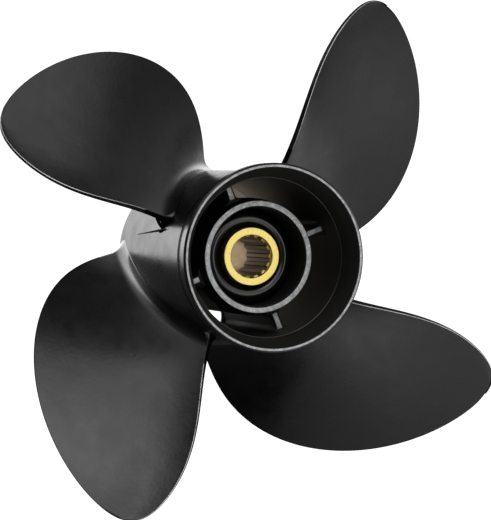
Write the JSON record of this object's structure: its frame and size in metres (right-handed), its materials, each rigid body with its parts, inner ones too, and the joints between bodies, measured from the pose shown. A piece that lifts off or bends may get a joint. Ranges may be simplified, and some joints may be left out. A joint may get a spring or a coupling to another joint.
{
  "type": "outboard boat propeller",
  "caption": "Black marine propeller with swept right-hand blades on a flared exhaust barrel, and a rubber-bushed brass sleeve with internal splines for the shaft.",
  "frame": {"origin": "centre of the barrel's front edge, which stands on the floor", "axes": "+Z along the shaft axis towards the stern, +X and +Y through the middles of the exhaust passages"},
  "size_m": [0.3352, 0.3352, 0.143],
  "materials": {
    "enamel": "satin black enamel on cast aluminium",
    "rubber": "moulded, dull sheen",
    "brass": "machined"
  },
  "bodies": {
    "root": {"hub_barrel": "enamel", "hub_tube": "enamel", "rib_1": "enamel", "rib_2": "enamel", "rib_3": "enamel", "rib_4": "enamel", "blade_1": "enamel", "blade_2": "enamel", "blade_3": "enamel", "blade_4": "enamel", "rubber_bush": "rubber", "spline_sleeve": "brass"}
  },
  "joints": []
}
